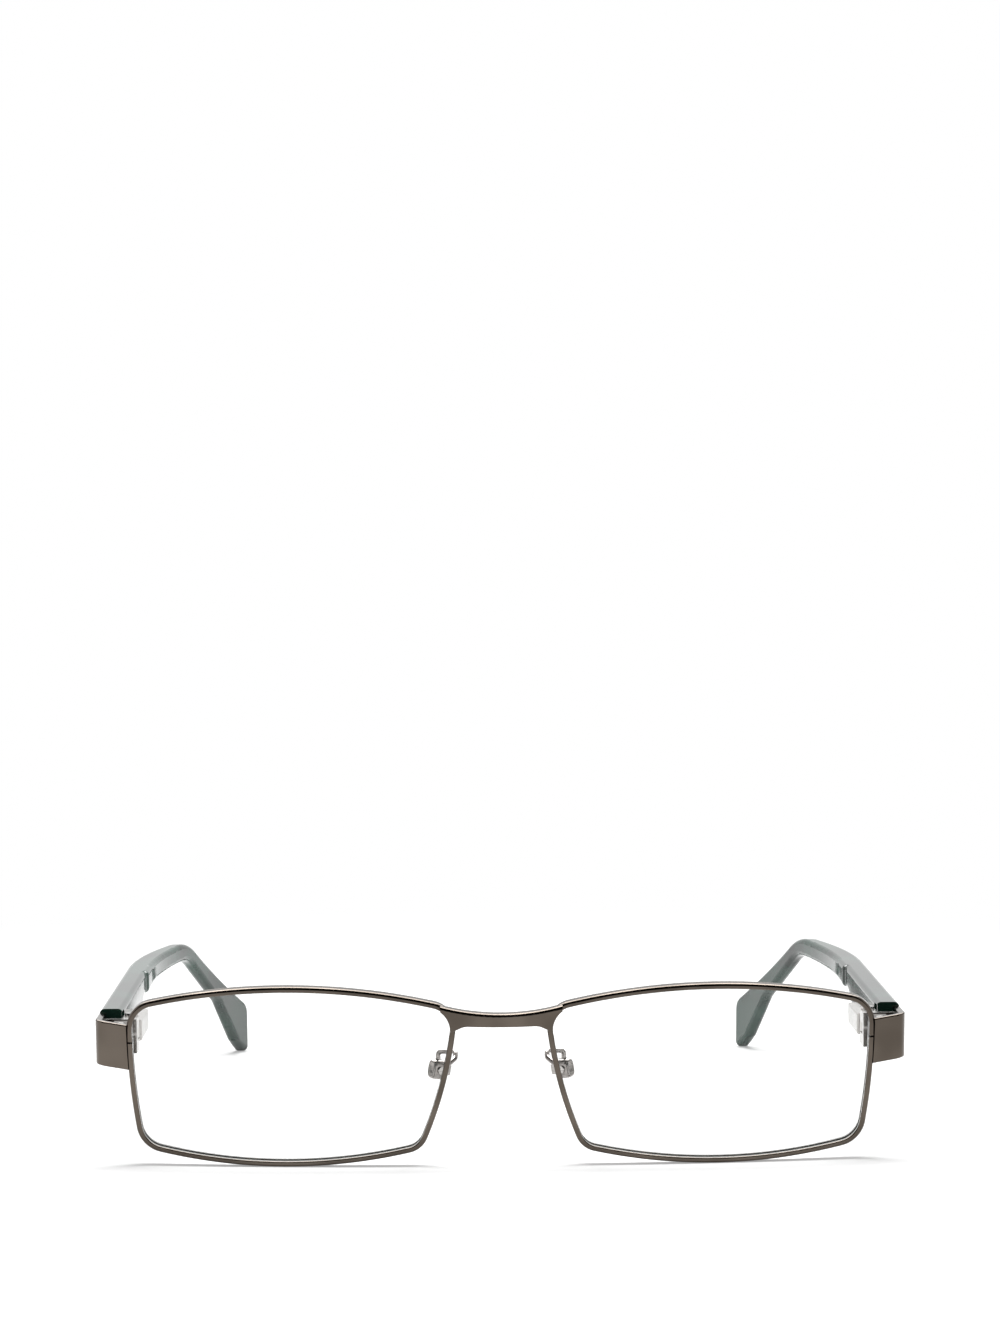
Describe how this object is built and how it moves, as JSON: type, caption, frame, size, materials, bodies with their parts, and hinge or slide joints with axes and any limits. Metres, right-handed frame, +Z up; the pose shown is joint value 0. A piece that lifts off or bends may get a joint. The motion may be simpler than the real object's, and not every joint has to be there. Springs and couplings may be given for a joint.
{
  "type": "rectangular eyeglasses",
  "caption": "Rectangular full-rim eyeglasses with a gunmetal wire front, wide wrap-round lugs, sprung hinges, clear nose pads and dark-green acetate temples.",
  "frame": {"origin": "middle of the bottom of the bounding box: the rims and temple tips stand on the plane z = 0", "axes": "+X across the front, towards the side that the names call right; +Y from the front back along the temples; +Z up"},
  "size_m": [0.1366, 0.135, 0.031],
  "materials": {
    "gunmetal": "satin warm grey plating with a soft sheen",
    "hardware": "polished steel",
    "hinge_metal": "polished nickel silver",
    "spring_steel": "drawn spring wire",
    "core_steel": "drawn flat wire",
    "acetate": "polished very dark green acetate",
    "lens": "clear, anti-reflection coated",
    "pad_clear": "clear soft plastic"
  },
  "bodies": {
    "front": {"bridge": "gunmetal", "rim_right": "gunmetal", "lens_right": "lens", "lug_right": "gunmetal", "rim_lock_upper_right": "gunmetal", "rim_lock_lower_right": "gunmetal", "rim_lock_screw_right": "hardware", "hinge_leaf_right": "hinge_metal", "hinge_screw_right": "hardware", "pad_arm_right": "hinge_metal", "pad_box_right": "hardware", "pad_screw_right": "hardware", "rim_left": "gunmetal", "lens_left": "lens", "lug_left": "gunmetal", "rim_lock_upper_left": "gunmetal", "rim_lock_lower_left": "gunmetal", "rim_lock_screw_left": "hardware", "hinge_leaf_left": "hinge_metal", "hinge_screw_left": "hardware", "pad_arm_left": "hinge_metal", "pad_box_left": "hardware", "pad_screw_left": "hardware"},
    "slider_right": {"slider_right": "hinge_metal", "hinge_spring_right": "spring_steel", "slider_stop_right": "hardware"},
    "temple_right": {"temple_right": "acetate", "temple_core_right": "core_steel", "spring_case_right": "hinge_metal"},
    "pad_right": {"nose_pad_right": "pad_clear", "pad_boss_right": "hardware"},
    "slider_left": {"slider_left": "hinge_metal", "hinge_spring_left": "spring_steel", "slider_stop_left": "hardware"},
    "temple_left": {"temple_left": "acetate", "temple_core_left": "core_steel", "spring_case_left": "hinge_metal"},
    "pad_left": {"nose_pad_left": "pad_clear", "pad_boss_left": "hardware"}
  },
  "joints": [
    {"name": "fold_right", "type": "hinge", "parent": "front", "child": "slider_right", "pos_m": [0.06285, -0.05081, 0.0213], "axis": [0, 0, 1], "range_deg": [0, 80]},
    {"name": "pull_right", "type": "slide", "parent": "slider_right", "child": "temple_right", "axis": [0, 1, 0], "range_m": [0, 0.0015], "stiffness_N_per_m": 1500, "springref_m": -0.002, "deforming": ["hinge_spring_right"]},
    {"name": "pad_rock_right", "type": "hinge", "parent": "front", "child": "pad_right", "pos_m": [0.0108, -0.0581, 0.01561], "axis": [0.5736, 0.813, 0.0998], "range_deg": [-5, 5]},
    {"name": "fold_left", "type": "hinge", "parent": "front", "child": "slider_left", "pos_m": [-0.06285, -0.05081, 0.0213], "axis": [0, 0, -1], "range_deg": [0, 86]},
    {"name": "pull_left", "type": "slide", "parent": "slider_left", "child": "temple_left", "axis": [0, 1, 0], "range_m": [0, 0.0015], "stiffness_N_per_m": 1500, "springref_m": -0.002, "deforming": ["hinge_spring_left"]},
    {"name": "pad_rock_left", "type": "hinge", "parent": "front", "child": "pad_left", "pos_m": [-0.0108, -0.0581, 0.01561], "axis": [-0.5736, 0.813, 0.0998], "range_deg": [-5, 5]}
  ]
}
